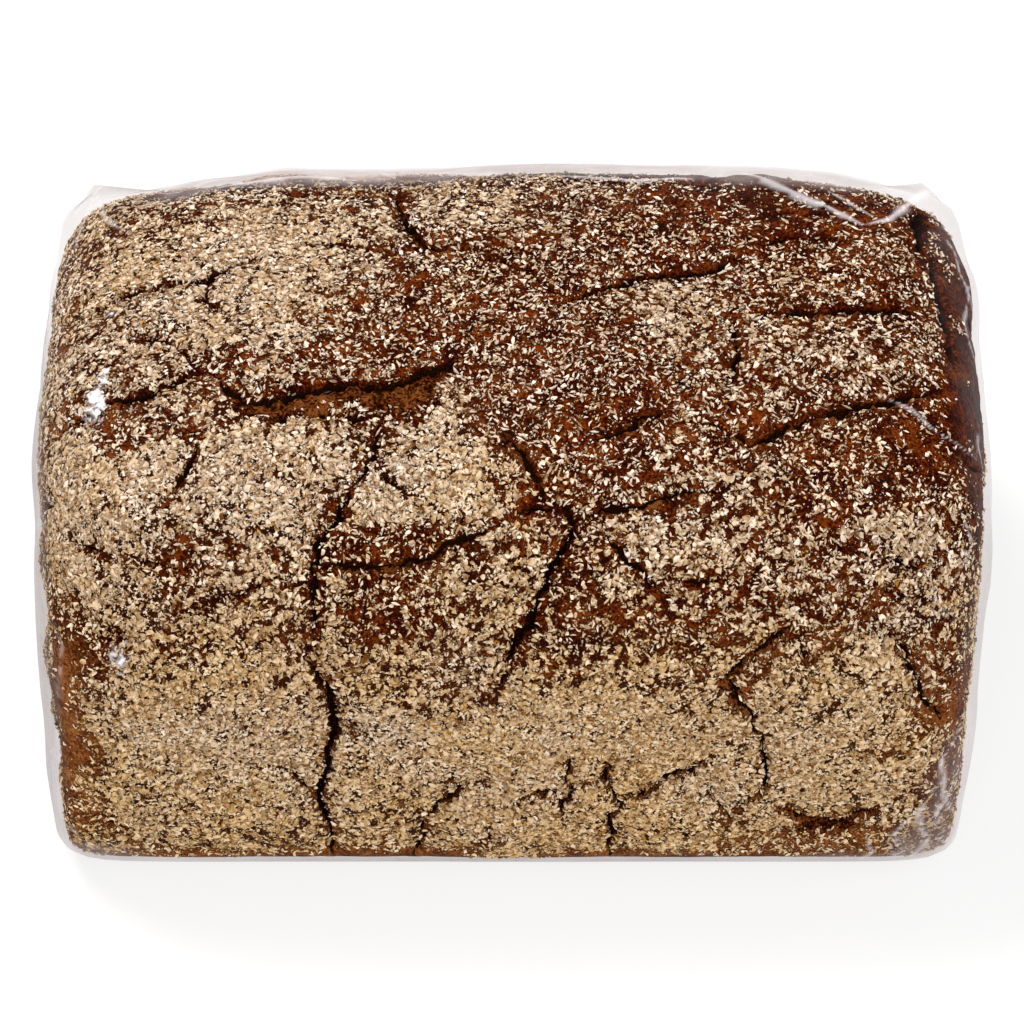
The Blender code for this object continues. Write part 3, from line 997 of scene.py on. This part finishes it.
def meal_material(kind):
    nodes = Nodes(kind.name)
    tone = nodes.plus(nodes.times(nodes.value("tone"), 0.8), nodes.times(nodes.noise(0.5, 1.0), 0.2))
    pale = nodes.ramp(tone, (0.22, 0.42, 0.7), kind.pale)
    brown = nodes.ramp(tone, (0.22, 0.42, 0.7), kind.brown)
    face = nodes.mix(nodes.value("warmth"), pale, brown)
    # Painted shade: the lower corners of a bit darken towards the underside colour
    upper = nodes.steps(nodes.value("upper"), 0.1, 0.6)
    nodes.surface(Base_Color=nodes.mix(upper, UNDERSIDE_SHADE, face), Roughness=0.7, Specular_IOR_Level=0.1)
    return nodes.material


def film_material():
    """Clear film: most light goes straight through; doubled film turns cloudy, and painted reflections,
    painted highlights along creases and painted glints are laid on it as diffuse colour.
    """
    nodes = Nodes("clear_film")
    nodes.tree.nodes.remove(nodes.shader)
    normal = nodes.bump(nodes.noise(9.0, at=nodes.warped(14.0, 4.0)), 0.5, 0.6)
    fresnel = nodes.add("Fresnel", {"IOR": 1.35, "Normal": normal}).outputs[0]
    gloss_share = nodes.add("MapRange", {"Value": fresnel, "From Min": 0.05, "From Max": 0.8,
                                         "To Min": 0.001, "To Max": 0.07}).outputs[0]
    patches = nodes.steps(nodes.noise(10.0, at=nodes.warped(12.0, 5.0)), 0.36, 0.64)
    milk_and_sheen_tone = nodes.mix(patches, *MILK_AND_SHEEN_FILM)
    clear, crease_sheen_shader, bright, milk_and_sheen_shader = (
        nodes.add(kind, {"Color": colour}).outputs[0]
        for kind, colour in (("BsdfTransparent", CLEAR_FILM), ("BsdfDiffuse", CREASE_SHEEN_FILM),
                             ("BsdfDiffuse", PAINTED_GLINT_FILM), ("BsdfDiffuse", milk_and_sheen_tone)))
    gloss = nodes.add("BsdfGlossy", {"Color": GLOSS_FILM, "Roughness": 0.05, "Normal": normal}).outputs[0]

    stored_milk_and_sheen = nodes.value("milk_and_sheen")
    milk_and_sheen = nodes.times(stored_milk_and_sheen, nodes.plus(0.75, nodes.times(patches, 0.25)), clamp=True)
    flow = nodes.noise(15.0, 1.0, at=nodes.warped(16.0, 8.0))
    off_crease = nodes.math("ABSOLUTE", nodes.math("SUBTRACT", flow, 0.5))
    crease_sheen = nodes.math("SUBTRACT", 1.0, nodes.steps(off_crease, 0.001, 0.010))
    crease_sheen = nodes.times(crease_sheen, nodes.times(stored_milk_and_sheen, 1.3, clamp=True))
    crest = nodes.times(nodes.value("crest"), 0.42)
    crease_sheen = nodes.math("MAXIMUM", nodes.times(crease_sheen, 0.2), crest)
    streaks = nodes.about(nodes.noise(1.8, at=nodes.warped(5.0, 3.0)), 0.5, 1.6)
    painted_glint = nodes.steps(nodes.plus(nodes.value("painted_glint"), streaks), 0.35, 1.05)

    # Cloudiness of doubled film together with the painted reflection of film seen at a glancing angle
    body = nodes.blend(milk_and_sheen, clear, milk_and_sheen_shader)
    # Painted highlight along creases and fold crests, with the cloudiness of creased film
    body = nodes.blend(crease_sheen, body, crease_sheen_shader)
    # Painted glints: a near-white diffuse laid over the film where a wrinkle would catch the light
    body = nodes.blend(nodes.times(painted_glint, 0.8), body, bright)
    mixed = nodes.blend(gloss_share, body, gloss)
    nodes.give(nodes.tree.nodes["Material Output"].inputs["Surface"], mixed)
    return nodes.material


# ------------ stage, light, camera

VIEW_ELEVATION = math.radians(42.0)
VIEW_DISTANCE = 1.2
VIEW_OFFSET = Vector((0.0008, 0.002, -0.0137))  # from the middle of the CAD box
PIXELS_PER_METRE = 4800.0  # at the target
FRAME_PIXELS = 1024
SENSOR = 36.0
FLOOR_HALF = 3.0
FLOOR_HEIGHT = -0.0003
LIGHT_TARGET = Vector((0.0, 0.0, 0.05))
# Name, place, size, energy, colour, and the rays that the light leaves out
LIGHTS = (
    ("key", (-0.55, 0.6, 1.45), 0.55, 34.0, (1.0, 0.98, 0.95), "glossy"),
    ("front_fill", (0.2, -1.5, 1.0), 1.2, 32.0, (1.0, 0.98, 0.94), "glossy"),
    ("right_fill", (1.3, -0.3, 1.1), 1.0, 10.0, (1.0, 1.0, 1.0), "glossy"),
    ("glint", (-0.55, 0.6, 1.45), 0.12, 9.0, (1.0, 1.0, 1.0), "diffuse"),
)


def build_floor():
    mesh = bpy.data.meshes.new("floor")
    signs = ((-1, -1), (1, -1), (1, 1), (-1, 1))
    mesh.from_pydata([(x * FLOOR_HALF, y * FLOOR_HALF, FLOOR_HEIGHT) for x, y in signs], [], [(0, 1, 2, 3)])
    nodes = Nodes("pale_floor")
    nodes.surface(Base_Color=(0.16, 0.16, 0.16, 1.0), Roughness=0.9,
                  Emission_Color=(1.0, 1.0, 1.0, 1.0), Emission_Strength=0.76)
    mesh.materials.append(nodes.material)
    floor = bpy.data.objects.new("floor", mesh)
    bpy.context.scene.collection.objects.link(floor)


def add_light(name, place, size, energy, colour, unseen_by):
    data = bpy.data.lights.new(name, "AREA")
    data.shape = "SQUARE"
    data.size = size
    data.energy = energy
    data.color = colour
    light = bpy.data.objects.new(name, data)
    light.location = place
    light.rotation_euler = (LIGHT_TARGET - Vector(place)).to_track_quat("-Z", "Y").to_euler()
    setattr(light, "visible_" + unseen_by, False)
    bpy.context.scene.collection.objects.link(light)


def light_scene():
    world = bpy.data.worlds.new("studio")
    world.use_nodes = True
    background = world.node_tree.nodes["Background"]
    background.inputs["Color"].default_value = (0.95, 0.96, 1.0, 1.0)
    background.inputs["Strength"].default_value = 0.42
    bpy.context.scene.world = world
    for light in LIGHTS:
        add_light(*light)


def build_camera():
    low, high = CAD_BOX
    target = (low + high) / 2.0 + VIEW_OFFSET
    data = bpy.data.cameras.new("camera")
    data.sensor_width = SENSOR
    data.lens = SENSOR * PIXELS_PER_METRE * VIEW_DISTANCE / FRAME_PIXELS
    data.clip_start = 0.05
    data.clip_end = 20.0
    camera = bpy.data.objects.new("camera", data)
    back = Vector((0.0, -math.cos(VIEW_ELEVATION), math.sin(VIEW_ELEVATION)))
    camera.location = target + back * VIEW_DISTANCE
    camera.rotation_euler = (math.pi / 2.0 - VIEW_ELEVATION, 0.0, 0.0)
    bpy.context.scene.collection.objects.link(camera)
    bpy.context.scene.camera = camera
    bpy.context.scene.view_settings.view_transform = "Standard"


def main():
    build_camera()
    light_scene()
    build_floor()
    rng = np.random.default_rng(SEED)
    main_cracks = FRONT_CRACKS + BACK_CRACKS + END_CRACKS
    all_cracks = main_cracks + fine_cracks(rng)
    lines = [crack_line(LOAF, crack, k) for k, crack in enumerate(all_cracks)]
    crust, cover = build_crust(lines[:len(main_cracks)], lines[len(main_cracks):])
    for kind in KINDS:
        build_kind(crust, cover, kind, rng)
    build_film()


main()
